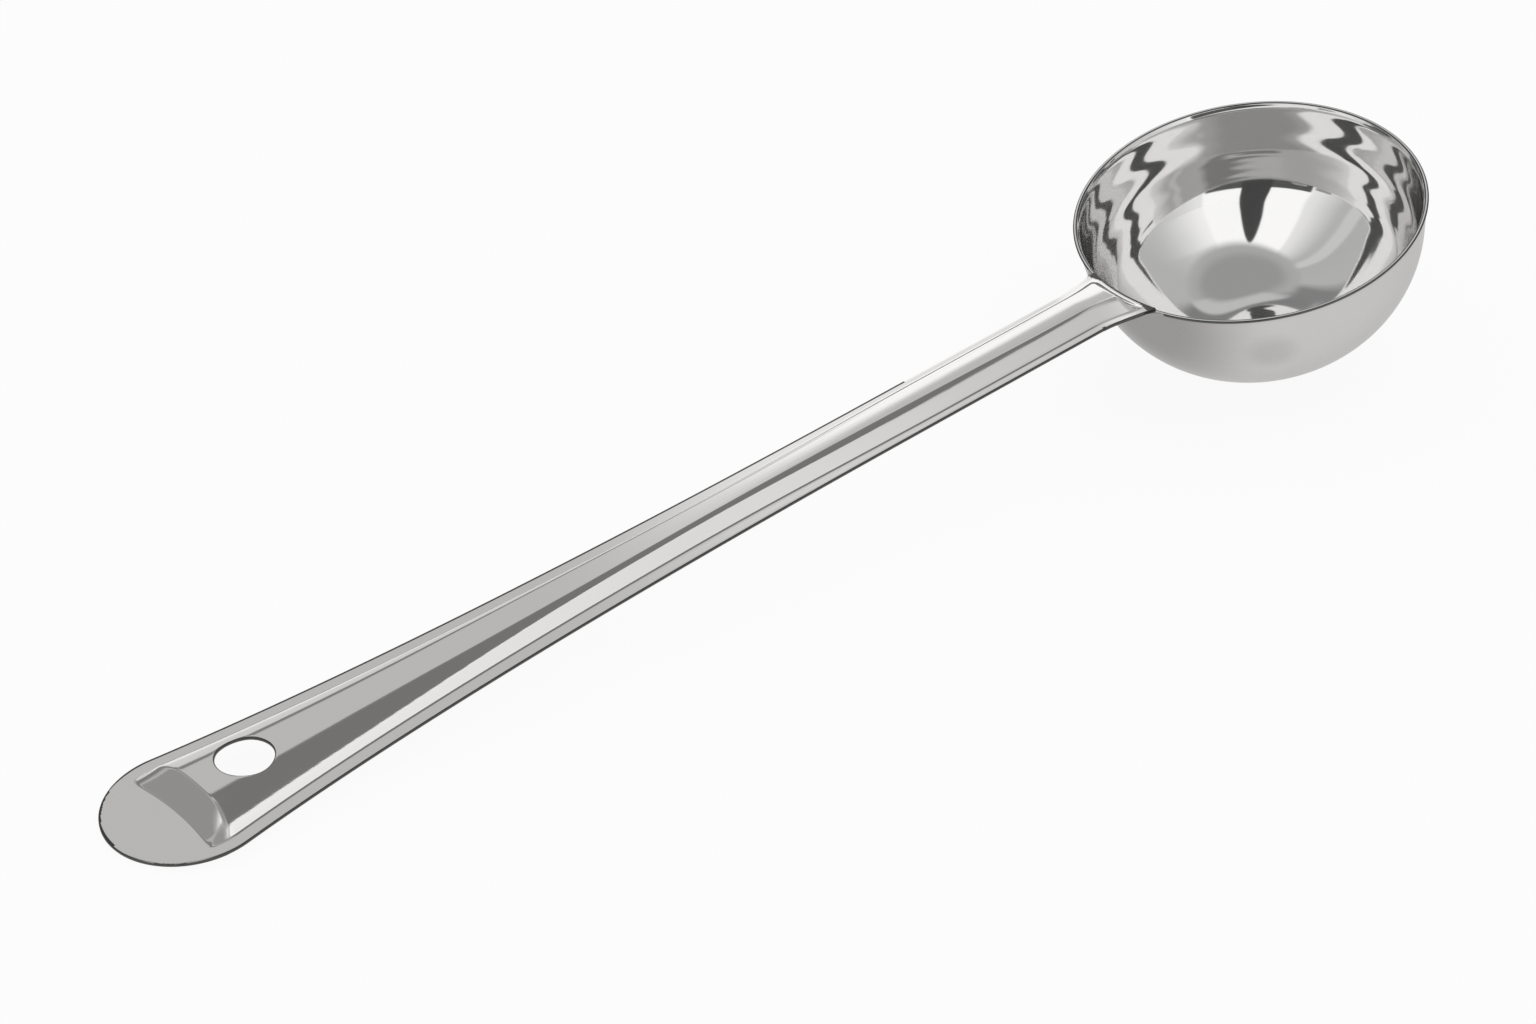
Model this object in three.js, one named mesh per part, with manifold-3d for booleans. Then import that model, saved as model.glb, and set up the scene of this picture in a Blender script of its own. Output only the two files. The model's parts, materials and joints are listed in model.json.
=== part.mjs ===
// Soup ladle: a deep-drawn bowl and a pressed, ribbed handle welded to the outside of its rim.
// Millimetres, +Z up. The ladle lies as it does on a table, on its bowl and the tip of its
// handle. The handle runs towards -X, and the origin is on the table under the middle of the box.

import * as THREE from 'three';
import { mergeVertices } from 'three/addons/utils/BufferGeometryUtils.js';
import Module from 'manifold-3d';

const wasm = await Module();
wasm.setup();

// Bowl
const rimDiameter = 90;
const bowlDepth = 40.5; // outside, from the rim's plane
const wallLean = THREE.MathUtils.degToRad(8.5); // inwards from upright, going down
const baseDiameter = 13.4; // of the flat at the bottom
const bowlSheet = 1;
const lipOverhang = 0.34;
const lipHeight = 1.8;
const rimRound = 0.3;

// Handle outline, measured along the handle from the rim and to each side of its middle
const handleLength = 300;
const handleRise = THREE.MathUtils.degToRad(6.2); // above the rim's plane
const handleSheet = 1.2;
const neckHalfWidth = 9.4;
const flareStart = 105;
const flareAngle = THREE.MathUtils.degToRad(7.8);
const tipRadius = 19.9;
const rootFlare = 2;
const rootRun = 14;

// Height of the handle at the bowl, over the rim's plane
const rootLift = 1.7; // of the straight handle, carried on to the rim
const rootStep = 1.2; // of the flange where it meets the rim

// Rib pressed up along the middle of the handle: a flat crown, with a rounded slope on each
// side, a hollow face at the tip and a nose at the rim
const flangeNeck = 2;
const flangeTip = 3.6;
const ribHeightNeck = 3.3;
const ribHeightTip = 5.3;
const ribSlope = THREE.MathUtils.degToRad(42);
const ribFillet = 0.8;
const crownShare = 0.3; // of the rib's width that is flat on top
const ribEndSetback = 16.7; // from the tip to the foot of the rib's end face
const ribEndSlope = THREE.MathUtils.degToRad(43);
const ribEndShoulder = 1.3;
const ribEndScoop = 1.8; // by which the end face is hollow between its corners
const ribNoseGap = 0.5; // from the rim to the foot of the rib's nose
const ribNoseSlope = THREE.MathUtils.degToRad(42);
const ribNoseShoulder = 1.4;

// Hole that the ladle hangs by
const hangHoleDiameter = 13.6;
const hangHoleSetback = 35.3;

// Welds
const weldGap = 0.3; // between each bead and what it joins
const seamRadius = 1.9;
const cornerWeldReach = 3.2;
const cornerWeldDepth = 2.6;
const cornerWeldBow = 0.45; // 1 leaves a straight edge, less a hollower one

// Fineness of the faceted surfaces
const bowlSegments = 64;
const bowlRings = 18;
const lipRings = 4;
const shoulderFacets = 4;
const tipFacets = 9;
const tipEndAngle = THREE.MathUtils.degToRad(85);
const holeSegments = 40;

const rimRadius = rimDiameter / 2;
const bodyRadius = rimRadius - lipOverhang;
const smooth = (x, from, to) => THREE.MathUtils.smoothstep(x, from, to);

const steel = (color, roughness) => new THREE.MeshStandardMaterial({ color, roughness, metalness: 1 });

// Solids

function toSolid(geometry) {
  const bare = geometry.clone();
  for (const name of Object.keys(bare.attributes)) {
    if (name !== 'position') bare.deleteAttribute(name);
  }
  const merged = mergeVertices(bare, 1e-4);
  const vertProperties = new Float32Array(merged.attributes.position.array);
  const triVerts = new Uint32Array(merged.index.array);
  return new wasm.Manifold(new wasm.Mesh({ numProp: 3, vertProperties, triVerts }));
}

function toGeometry(solid) {
  const mesh = solid.getMesh();
  const geometry = new THREE.BufferGeometry();
  geometry.setAttribute('position', new THREE.BufferAttribute(mesh.vertProperties, 3));
  geometry.setIndex(new THREE.BufferAttribute(mesh.triVerts, 1));
  geometry.computeVertexNormals();
  return geometry;
}

// Bowl

// The belly is round from the flat base up to the wall, which is straight to the rim
const bellyTurn = Math.PI / 2 - wallLean;
const bellyRise = 1 - Math.sin(wallLean); // share of the belly's radius that lies under the wall
const bellyRadius = Math.min(
  ((bodyRadius - baseDiameter / 2 - bowlDepth * Math.tan(wallLean)) * Math.cos(wallLean)) / bellyRise,
  (bowlDepth - 2 * lipHeight) / bellyRise,
);
const bellyHeight = bellyRadius - bowlDepth;
const wallFoot = bellyRadius * bellyRise - bowlDepth;
const bellyReach = bodyRadius + wallFoot * Math.tan(wallLean) - bellyRadius * Math.cos(wallLean);

// Radius of the bowl's outside at a height under the rim's plane, lip included
function bowlRadiusAt(height) {
  const z = Math.min(0, Math.max(-bowlDepth, height));
  if (z < wallFoot) return bellyReach + Math.sqrt(bellyRadius ** 2 - (z - bellyHeight) ** 2);
  return bodyRadius + z * Math.tan(wallLean) + lipOverhang * smooth(z, -lipHeight, 0);
}

// The outside's profile from its lowest point to the rim's plane
function bowlProfile() {
  const points = [new THREE.Vector2(0, -bowlDepth)];
  for (let i = 0; i <= bowlRings; i++) {
    const angle = (bellyTurn * i) / bowlRings;
    const z = bellyHeight - bellyRadius * Math.cos(angle);
    points.push(new THREE.Vector2(bellyReach + bellyRadius * Math.sin(angle), z));
  }
  for (let i = 0; i <= lipRings; i++) {
    const z = -lipHeight * (1 - i / lipRings);
    points.push(new THREE.Vector2(bowlRadiusAt(z), z));
  }
  return points;
}

// The same profile moved out, or in where the distance is negative, square to itself
function offsetProfile(points, distance) {
  return points.map((point, i) => {
    const before = points[Math.max(0, i - 1)];
    const after = points[Math.min(points.length - 1, i + 1)];
    const along = after.clone().sub(before).normalize();
    if (i === 0) along.set(1, 0);
    if (i === points.length - 1) along.set(0, 1);
    return new THREE.Vector2(point.x + along.y * distance, point.y - along.x * distance);
  });
}

const revolve = (profile) => new THREE.LatheGeometry(profile, bowlSegments).rotateX(Math.PI / 2);

function bowlGeometry() {
  const outside = bowlProfile();
  const inside = offsetProfile(outside, -bowlSheet).reverse();
  const rimOutside = outside.pop();
  const rimInside = inside.shift();
  const rim = [
    new THREE.Vector2(rimOutside.x, -rimRound),
    new THREE.Vector2(rimOutside.x - rimRound, 0),
    new THREE.Vector2(rimInside.x + rimRound, 0),
    new THREE.Vector2(rimInside.x, -rimRound),
  ];
  return revolve([...outside, ...rim, ...inside]);
}

// The bowl filled up, grown by the weld's gap and carried on above the rim, to cut the handle
// and the beads with
function bowlCutter() {
  const profile = offsetProfile(bowlProfile(), weldGap);
  const top = profile[profile.length - 1];
  const cutterTop = bowlDepth;
  profile.push(new THREE.Vector2(top.x, cutterTop), new THREE.Vector2(0, cutterTop));
  return toSolid(revolve(profile));
}

// Handle

const tipCentre = handleLength - tipRadius * Math.sin(tipEndAngle);
const flareEnd = tipCentre - tipRadius * Math.sin(flareAngle);
const flareEndHalfWidth = tipRadius * Math.cos(flareAngle);
const flareBend = flareEnd - (flareEndHalfWidth - neckHalfWidth) / Math.tan(flareAngle);
const flareCurve = new THREE.QuadraticBezierCurve(
  new THREE.Vector2(flareStart, neckHalfWidth),
  new THREE.Vector2(flareBend, neckHalfWidth),
  new THREE.Vector2(flareEnd, flareEndHalfWidth),
);

// Place on the flare's curve that is a distance along the handle from the rim
function flarePlace(along) {
  const a = flareStart - 2 * flareBend + flareEnd;
  const b = 2 * (flareBend - flareStart);
  const c = flareStart - along;
  return (-2 * c) / (b + Math.sqrt(b * b - 4 * a * c));
}

function halfWidthAt(along) {
  if (along > flareEnd) return Math.sqrt(Math.max(0, tipRadius ** 2 - (along - tipCentre) ** 2));
  if (along > flareStart) return flareCurve.getPoint(flarePlace(along)).y;
  return neckHalfWidth + rootFlare * Math.max(0, 1 - Math.max(0, along) / rootRun) ** 2;
}

// Distance in from a rounded ramp's foot to the flat at its top
function rampRun(height, slope, shoulder) {
  return height / Math.tan(slope) + (ribFillet + shoulder) * Math.tan(slope / 2);
}

// Height of such a ramp at a distance in from its foot: a fillet, a slope and a shoulder
function rampHeight(distance, height, slope, shoulder) {
  const run = rampRun(height, slope, shoulder);
  if (distance <= 0) return 0;
  if (distance >= run) return height;
  if (distance < ribFillet * Math.sin(slope)) {
    return ribFillet - Math.sqrt(ribFillet ** 2 - distance ** 2);
  }
  if (distance > run - shoulder * Math.sin(slope)) {
    return height - shoulder + Math.sqrt(shoulder ** 2 - (run - distance) ** 2);
  }
  return (distance - ribFillet * Math.tan(slope / 2)) * Math.tan(slope);
}

// Sizes of the rib's section: the shoulders are as round as the crown between them leaves room for
function ribSectionAt(along) {
  const halfWidth = halfWidthAt(along);
  const share = (halfWidthAt(Math.min(along, flareEnd)) - neckHalfWidth) / (tipRadius - neckHalfWidth);
  const grown = along > rootRun ? share : 0;
  const flange = flangeNeck + (flangeTip - flangeNeck) * grown;
  const foot = Math.max(halfWidth - flange, halfWidth / 2);
  const height = ribHeightNeck + (ribHeightTip - ribHeightNeck) * grown;
  const slopeRun = (1 - crownShare) * foot - height / Math.tan(ribSlope);
  const roomy = slopeRun / Math.tan(ribSlope / 2) - ribFillet;
  const tallest = height / (1 - Math.cos(ribSlope)) - ribFillet;
  const shoulder = Math.min(Math.max(ribFillet, roomy), tallest);
  return { halfWidth, foot, height, shoulder };
}

// The rim's curve, as a distance along the handle at a distance from its middle
const rimAlong = (side) => Math.sqrt(rimRadius ** 2 - side ** 2) - rimRadius;

// Height of the handle's upper face over the plane of its flanges
function upperHeight(along, side) {
  const { foot, height, shoulder } = ribSectionAt(along);
  const slopes = rampHeight(foot - Math.abs(side), height, ribSlope, shoulder);
  const endFoot = handleLength - ribEndSetback + ribEndScoop * (side / foot) ** 2;
  const end = rampHeight(endFoot - along, height, ribEndSlope, ribEndShoulder) / height;
  const noseFoot = rimAlong(side) + ribNoseGap;
  const nose = rampHeight(along - noseFoot, height, ribNoseSlope, ribNoseShoulder) / height;
  const dip = (rootLift - rootStep) * (1 - smooth(along, 0, rootRun));
  return slopes * end * nose - dip;
}

const upperPoint = (along, side) => new THREE.Vector3(along, side, upperHeight(along, side));

function upperNormal(along, side) {
  const step = 0.05;
  const ahead = upperPoint(along + step, side).sub(upperPoint(along - step, side));
  const across = upperPoint(along, side + step).sub(upperPoint(along, side - step));
  return ahead.cross(across).normalize();
}

// Distances along the handle at which its section is taken, closer where it changes quickly
function handleStations() {
  const endFoot = handleLength - ribEndSetback;
  const endCrest = endFoot - rampRun(ribHeightTip, ribEndSlope, ribEndShoulder);
  const endCorner = endFoot + ribEndScoop;
  const noseTop = ribNoseGap + rampRun(ribHeightNeck, ribNoseSlope, ribNoseShoulder);
  const stretches = [
    [-2 * bowlSheet - rootRun / 8, noseTop, 14],
    [noseTop, rootRun, 3],
    [rootRun, flareStart, 5],
    [flareStart, endCrest, 22],
    [endCrest, endCorner, 14],
  ];
  const stations = [];
  for (const [from, to, count] of stretches) {
    for (let i = 0; i < count; i++) stations.push(from + ((to - from) * i) / count);
  }
  const startAngle = Math.asin((endCorner - tipCentre) / tipRadius);
  for (let i = 0; i <= tipFacets; i++) {
    const angle = startAngle + ((tipEndAngle - startAngle) * i) / tipFacets;
    stations.push(tipCentre + tipRadius * Math.sin(angle));
  }
  return stations;
}

// Places across one half of the section, from the edge to the middle, as distances from it
function sectionPlaces({ halfWidth, foot, height, shoulder }) {
  const run = rampRun(height, ribSlope, shoulder);
  const shoulderRun = shoulder * Math.sin(ribSlope);
  const steps = [0, ribFillet * Math.sin(ribSlope)];
  for (let i = 0; i <= shoulderFacets; i++) {
    steps.push(run - shoulderRun * (1 - i / shoulderFacets));
  }
  const squeeze = Math.min(1, ((1 - crownShare) * foot) / run); // where the tip is too narrow for the rib
  return [halfWidth, ...steps.map((step) => foot - squeeze * step), 0];
}

// Closed sheet lofted through the stations, thickened on every side by a distance, with its
// upper face then raised by another
function handleLoft(grow, raise) {
  const positions = [];
  const stations = handleStations();
  let count = 0;
  for (const along of stations) {
    const lengthen = along === stations[stations.length - 1] ? grow : 0;
    const half = sectionPlaces(ribSectionAt(along));
    const places = [...half, ...half.slice(0, -1).reverse().map((place) => -place)];
    count = places.length;
    const upper = [];
    const lower = [];
    places.forEach((place, i) => {
      const point = upperPoint(along, place);
      const normal = upperNormal(along, place);
      if (i === 0) point.y += grow;
      if (i === count - 1) point.y -= grow;
      point.x += lengthen;
      const top = point.clone().addScaledVector(normal, grow);
      top.z += raise;
      upper.push(top);
      lower.push(point.clone().setZ(point.z - (handleSheet + grow) / normal.z));
    });
    for (const point of [...upper, ...lower.reverse()]) positions.push(...point.toArray());
  }
  return ringLoft(positions, 2 * count, stations.length, count);
}

// Skin over rings of points that run round the sheet, with its two ends closed
function ringLoft(positions, ringSize, rings, upperSize) {
  const index = [];
  for (let r = 0; r < rings - 1; r++) {
    for (let i = 0; i < ringSize; i++) {
      const next = (i + 1) % ringSize;
      const a = r * ringSize + i;
      const b = r * ringSize + next;
      index.push(a, b, a + ringSize, b, b + ringSize, a + ringSize);
    }
  }
  const last = (rings - 1) * ringSize;
  for (let i = 0; i < upperSize - 1; i++) {
    const below = ringSize - 1 - i;
    index.push(i, below, i + 1, i + 1, below, below - 1);
    index.push(last + i, last + i + 1, last + below, last + i + 1, last + below - 1, last + below);
  }
  const geometry = new THREE.BufferGeometry();
  geometry.setAttribute('position', new THREE.Float32BufferAttribute(positions, 3));
  geometry.setIndex(index);
  return geometry;
}

// From the handle's own frame, along it from the rim, to the bowl's frame
const handlePlace = new THREE.Matrix4()
  .makeTranslation(-rimRadius, 0, rootLift)
  .multiply(new THREE.Matrix4().makeRotationY(handleRise))
  .multiply(new THREE.Matrix4().makeScale(-1, -1, 1));

const handleSolid = (grow, raise) => toSolid(handleLoft(grow, raise).applyMatrix4(handlePlace));

function hangHoleCutter() {
  const length = 4 * (ribHeightTip + handleSheet);
  const cutter = new THREE.CylinderGeometry(
    hangHoleDiameter / 2, hangHoleDiameter / 2, length, holeSegments,
  );
  cutter.rotateX(Math.PI / 2);
  cutter.translate(handleLength - hangHoleSetback, 0, 0);
  return toSolid(cutter.applyMatrix4(handlePlace));
}

const bowlSpace = bowlCutter();
const handleSpace = handleSolid(weldGap, 2 * seamRadius);

const handleGeometry = () =>
  toGeometry(handleSolid(0, 0).subtract(hangHoleCutter()).subtract(bowlSpace));

// Welds

// Point where the handle's lower face meets the bowl's outside, at a distance from its middle
function seamPoint(side) {
  const point = upperPoint(0, side).addScaledVector(upperNormal(0, side), -handleSheet);
  point.applyMatrix4(handlePlace);
  const radius = bowlRadiusAt(point.z);
  return new THREE.Vector3(-Math.sqrt(radius ** 2 - point.y ** 2), point.y, point.z);
}

function seamGeometry() {
  const halfLength = halfWidthAt(0) - seamRadius;
  const route = [];
  const steps = 12;
  for (let i = 0; i <= steps; i++) route.push(seamPoint(halfLength * (1 - (2 * i) / steps)));
  const section = new THREE.Shape().absarc(0, 0, seamRadius, 0, 2 * Math.PI);
  const bead = new THREE.ExtrudeGeometry(section, {
    steps: 2 * steps,
    curveSegments: 10,
    bevelEnabled: false,
    extrudePath: new THREE.CatmullRomCurve3(route),
  });
  return toGeometry(toSolid(bead).subtract(bowlSpace).subtract(handleSpace));
}

// Fillet in the corner between the handle's edge and the bowl, on one side, drawn in the
// handle's own frame
function cornerWeldGeometry(side) {
  const edge = halfWidthAt(0);
  const wallReach = edge + cornerWeldReach;
  const edgeReach = rimAlong(edge) + cornerWeldReach;
  const corner = new THREE.Vector2(rimAlong(edge), edge);
  const alongEdge = new THREE.Vector2(edgeReach, halfWidthAt(edgeReach));
  const alongWall = new THREE.Vector2(rimAlong(wallReach), wallReach);
  const hollow = alongEdge.clone().add(alongWall).multiplyScalar(0.5);
  hollow.lerpVectors(corner, hollow, cornerWeldBow);
  const outline = new THREE.Shape();
  outline.moveTo(alongEdge.x, side * alongEdge.y);
  outline.quadraticCurveTo(hollow.x, side * hollow.y, alongWall.x, side * alongWall.y);
  outline.lineTo(alongWall.x - bowlSheet, side * alongWall.y);
  outline.lineTo(corner.x - bowlSheet, side * (corner.y - flangeNeck / 2));
  outline.lineTo(alongEdge.x, side * (alongEdge.y - flangeNeck / 2));
  outline.closePath();
  const bead = new THREE.ExtrudeGeometry(outline, { depth: cornerWeldDepth, bevelEnabled: false });
  bead.translate(0, 0, upperHeight(0, edge) - cornerWeldDepth);
  bead.applyMatrix4(handlePlace);
  return toGeometry(toSolid(bead).subtract(bowlSpace).subtract(handleSpace));
}

// Assembly, in the bowl's frame: the rim's plane is level, and its middle is the origin

const welded = new THREE.Group();

function addPiece(name, geometry, material) {
  const piece = new THREE.Mesh(geometry, material);
  piece.name = name;
  welded.add(piece);
}

addPiece('bowl', bowlGeometry(), steel(0xcfcfcf, 0.16));
addPiece('handle', handleGeometry(), steel(0xc4c2c1, 0.14));
addPiece('weld_seam', seamGeometry(), steel(0xb9b9b9, 0.3));
addPiece('weld_left', cornerWeldGeometry(-1), steel(0xb9b9b9, 0.3));
addPiece('weld_right', cornerWeldGeometry(1), steel(0xb9b9b9, 0.3));

// Lying on a table: the bowl tips towards the handle until the handle's tip comes down

const tipEdge = new THREE.Vector3(handleLength, 0, -handleSheet).applyMatrix4(handlePlace);

function tipOverBowl(tilt) {
  const drop = (x, z) => x * Math.sin(tilt) + z * Math.cos(tilt);
  const bowlLow = Math.min(...bowlProfile().map((point) => drop(-point.x, point.y)));
  return drop(tipEdge.x, tipEdge.z) - bowlLow;
}

function lyingTilt() {
  let low = 0;
  let high = Math.PI / 4;
  for (let i = 0; i < 50; i++) {
    const middle = (low + high) / 2;
    if (tipOverBowl(middle) > 0) low = middle;
    else high = middle;
  }
  return low;
}

welded.rotation.y = -lyingTilt();
welded.updateMatrixWorld(true);
const box = new THREE.Box3().setFromObject(welded, true);
const middle = box.getCenter(new THREE.Vector3());
welded.position.set(-middle.x, -middle.y, -box.min.z);

const ladle = new THREE.Group();
ladle.add(welded);

export default ladle;
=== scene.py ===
import json
import math

import bmesh
import bpy
from mathutils import Matrix, Vector


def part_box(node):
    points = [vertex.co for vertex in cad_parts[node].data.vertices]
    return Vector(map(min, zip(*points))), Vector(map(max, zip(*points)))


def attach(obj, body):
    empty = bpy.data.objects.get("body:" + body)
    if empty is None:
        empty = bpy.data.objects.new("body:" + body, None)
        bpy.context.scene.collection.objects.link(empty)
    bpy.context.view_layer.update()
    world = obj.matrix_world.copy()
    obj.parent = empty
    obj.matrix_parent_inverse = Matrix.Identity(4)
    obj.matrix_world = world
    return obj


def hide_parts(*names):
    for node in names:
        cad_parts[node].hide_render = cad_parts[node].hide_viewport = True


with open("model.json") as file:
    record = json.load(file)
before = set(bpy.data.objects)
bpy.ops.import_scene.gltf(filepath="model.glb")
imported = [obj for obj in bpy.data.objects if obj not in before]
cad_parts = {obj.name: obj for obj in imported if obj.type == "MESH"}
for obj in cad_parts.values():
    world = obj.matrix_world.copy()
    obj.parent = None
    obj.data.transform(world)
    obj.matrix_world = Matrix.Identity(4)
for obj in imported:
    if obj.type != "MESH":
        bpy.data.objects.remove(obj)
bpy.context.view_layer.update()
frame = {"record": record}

scene = bpy.context.scene
scene.view_settings.view_transform = "Standard"
mm = 0.001  # sizes below are in millimetres, meshes in metres


class Wire:
    # a node's output that takes plain maths
    def __init__(self, node, output=0):
        self.node = node
        self.tree = node.id_data
        self.socket = node.outputs[output]

    @staticmethod
    def make(tree, kind, settings=None, sockets=None):
        node = tree.nodes.new(kind)
        for name, value in (settings or {}).items():
            if name == "stops":
                Wire.setStops(node.color_ramp, value)
            else:
                setattr(node, name, value)
        for name, value in (sockets or {}).items():
            if isinstance(value, Wire):
                tree.links.new(value.socket, node.inputs[name])
            else:
                node.inputs[name].default_value = value
        return node

    @staticmethod
    def setStops(ramp, stops):
        while len(ramp.elements) < len(stops):
            ramp.elements.new(1.0)
        for element, (place, level) in zip(ramp.elements, stops):
            element.position = place
            element.color = (level, level, level, 1.0)

    def math(self, operation, *values):
        sockets = dict(enumerate(values))
        return Wire(Wire.make(self.tree, "ShaderNodeMath", {"operation": operation}, sockets))

    def fade(self, start, end, low=0.0, high=1.0):  # soft step from low to high
        sockets = {0: self, 1: start, 2: end, 3: low, 4: high}
        return Wire(Wire.make(self.tree, "ShaderNodeMapRange",
                              {"interpolation_type": "SMOOTHSTEP"}, sockets))

    def __add__(self, other):
        return self.math("ADD", self, other)

    def __radd__(self, other):
        return self.math("ADD", other, self)

    def __sub__(self, other):
        return self.math("SUBTRACT", self, other)

    def __rsub__(self, other):
        return self.math("SUBTRACT", other, self)

    def __mul__(self, other):
        return self.math("MULTIPLY", self, other)

    def __rmul__(self, other):
        return self.math("MULTIPLY", other, self)

    def __truediv__(self, other):
        return self.math("DIVIDE", self, other)

    def __pow__(self, other):
        return self.math("POWER", self, other)


def newTree(owner):
    owner.use_nodes = True
    owner.node_tree.nodes.clear()
    return owner.node_tree


def newMaterial(name):
    material = bpy.data.materials.new(name)
    return material, newTree(material)


def objectPlace(tree):
    return Wire(Wire.make(tree, "ShaderNodeTexCoord"), "Object")


def attribute(tree, name):
    return Wire(Wire.make(tree, "ShaderNodeAttribute", {"attribute_name": name}), "Fac")


def noise(tree, place, scale, detail=3.0):
    sockets = {"Vector": place, "Scale": scale, "Detail": detail}
    return Wire(Wire.make(tree, "ShaderNodeTexNoise", None, sockets), "Fac")


def bumpOf(tree, height, strength, depth):
    sockets = {"Strength": strength, "Distance": depth * mm, "Height": height}
    return Wire(Wire.make(tree, "ShaderNodeBump", None, sockets))


def mixTone(tree, share, first, second):
    sockets = {0: share, 6: first, 7: second}
    return Wire(Wire.make(tree, "ShaderNodeMix", {"data_type": "RGBA"}, sockets), 2)


def showSurface(tree, shader):
    Wire.make(tree, "ShaderNodeOutputMaterial", None, {"Surface": Wire(shader)})


def showMix(tree, share, first, second):
    sockets = {"Fac": share, 1: Wire(first), 2: Wire(second)}
    showSurface(tree, Wire.make(tree, "ShaderNodeMixShader", None, sockets))


def showSteel(tree, tone, rough, normal):
    showSurface(tree, Wire.make(tree, "ShaderNodeBsdfPrincipled", None, {
        "Base Color": tone, "Metallic": 1.0, "Roughness": rough, "Normal": normal}))


def fewBounces(depth, most):  # 1 up to that many reflections, 0 after them
    return depth.fade(most + 0.4, most + 0.6, 1.0, 0.0)


def smooth(value, start, end):
    share = min(1.0, max(0.0, (value - start) / (end - start)))
    return share * share * (3.0 - 2.0 * share)


def makeObject(name, bm, material):
    mesh = bpy.data.meshes.new(name)
    bm.to_mesh(mesh)
    bm.free()
    mesh.materials.append(material)
    made = bpy.data.objects.new(name, mesh)
    scene.collection.objects.link(made)
    return made


def finishPiece(name, bm, material, slot, *nodes):
    piece = makeObject(name, bm, material)
    for face in piece.data.polygons:
        face.use_smooth = True
    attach(piece, "root")
    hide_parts(*nodes)
    return piece


# camera, as the photograph was taken

shot = {
    "place": (-639.66, -778.52, 664.94),
    "heading": 39.097,  # degrees, from +Y towards +X
    "downward": 32.984,
    "roll": 0.242,
    "lens": 117.19,
    "sensor": 36.0,  # its width
    "clip": (0.01, 50.0),  # in metres
}


def makeCamera():
    data = bpy.data.cameras.new("shot")
    data.sensor_width = shot["sensor"]
    data.lens = shot["lens"]
    data.clip_start, data.clip_end = shot["clip"]
    camera = bpy.data.objects.new("shot", data)
    scene.collection.objects.link(camera)
    turn = Matrix.Rotation(math.radians(-shot["heading"]), 4, "Z")
    nod = Matrix.Rotation(math.radians(90.0 - shot["downward"]), 4, "X")
    roll = Matrix.Rotation(math.radians(shot["roll"]), 4, "Z")
    camera.matrix_world = Matrix.Translation(mm * Vector(shot["place"])) @ turn @ nod @ roll
    scene.camera = camera


makeCamera()
print("camera set")


# light tent: white walls, a dark slit and sill in front, a duller top,
# and a dim back with lit strips

tent = {
    "frontTurn": -134.6,  # degrees, from +Y towards +X, about the way to the camera
    "brightest": 1.6,
    "walls": [  # turn from the front, and level as a share of the brightest
        (-180, 0.44), (-100, 0.44), (-80, 0.50), (-60, 0.60), (-50, 0.68), (-40, 0.79),
        (-36, 0.80), (-34, 1.0), (42, 1.0), (44, 0.80), (50, 0.76), (60, 0.60), (69, 0.45),
        (74, 0.45), (75, 0.56), (83, 0.56), (85, 0.42), (112, 0.44), (122, 0.20), (180, 0.20),
    ],
    "slitTurn": 3.0,
    "slitLean": 0.035,  # to the side, for each degree up
    "slitHalfWidth": 10.4,
    "slitTop": 59.5,
    "slitSquare": 5.0,  # how straight its sides are
    "slitEdge": (0.92, 1.08),  # shares of its size between which it ends
    "slitLevel": 0.05,
    "sillTop": 14.0,
    "sillTurns": (-33, 42),
    "sillEdge": 1.0,
    "sillLevel": 0.1,
    "topStart": 57.0,
    "topEnd": 63.0,
    "topEdge": 0.62,  # level where the top starts
    "topMiddle": 72.0,
    "topLevel": 0.47,
    "topBackLift": 8.0,  # the top starts higher at the back
    "backTurns": (130.0, 150.0),
    "backLevel": 0.3,
    "backFirst": (31.0, 35.0, 0.79),  # first reflections see it lit up to these heights
    "backBars": [  # lit strips: the heights where they start and end, softly, and their level
        (31.0, 35.0, 46.0, 50.0, 0.79),
        (57.0, 60.0, 80.0, 81.0, 0.8),
    ],
    "spread": 1.0,  # level that lights rough surfaces
}


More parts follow.
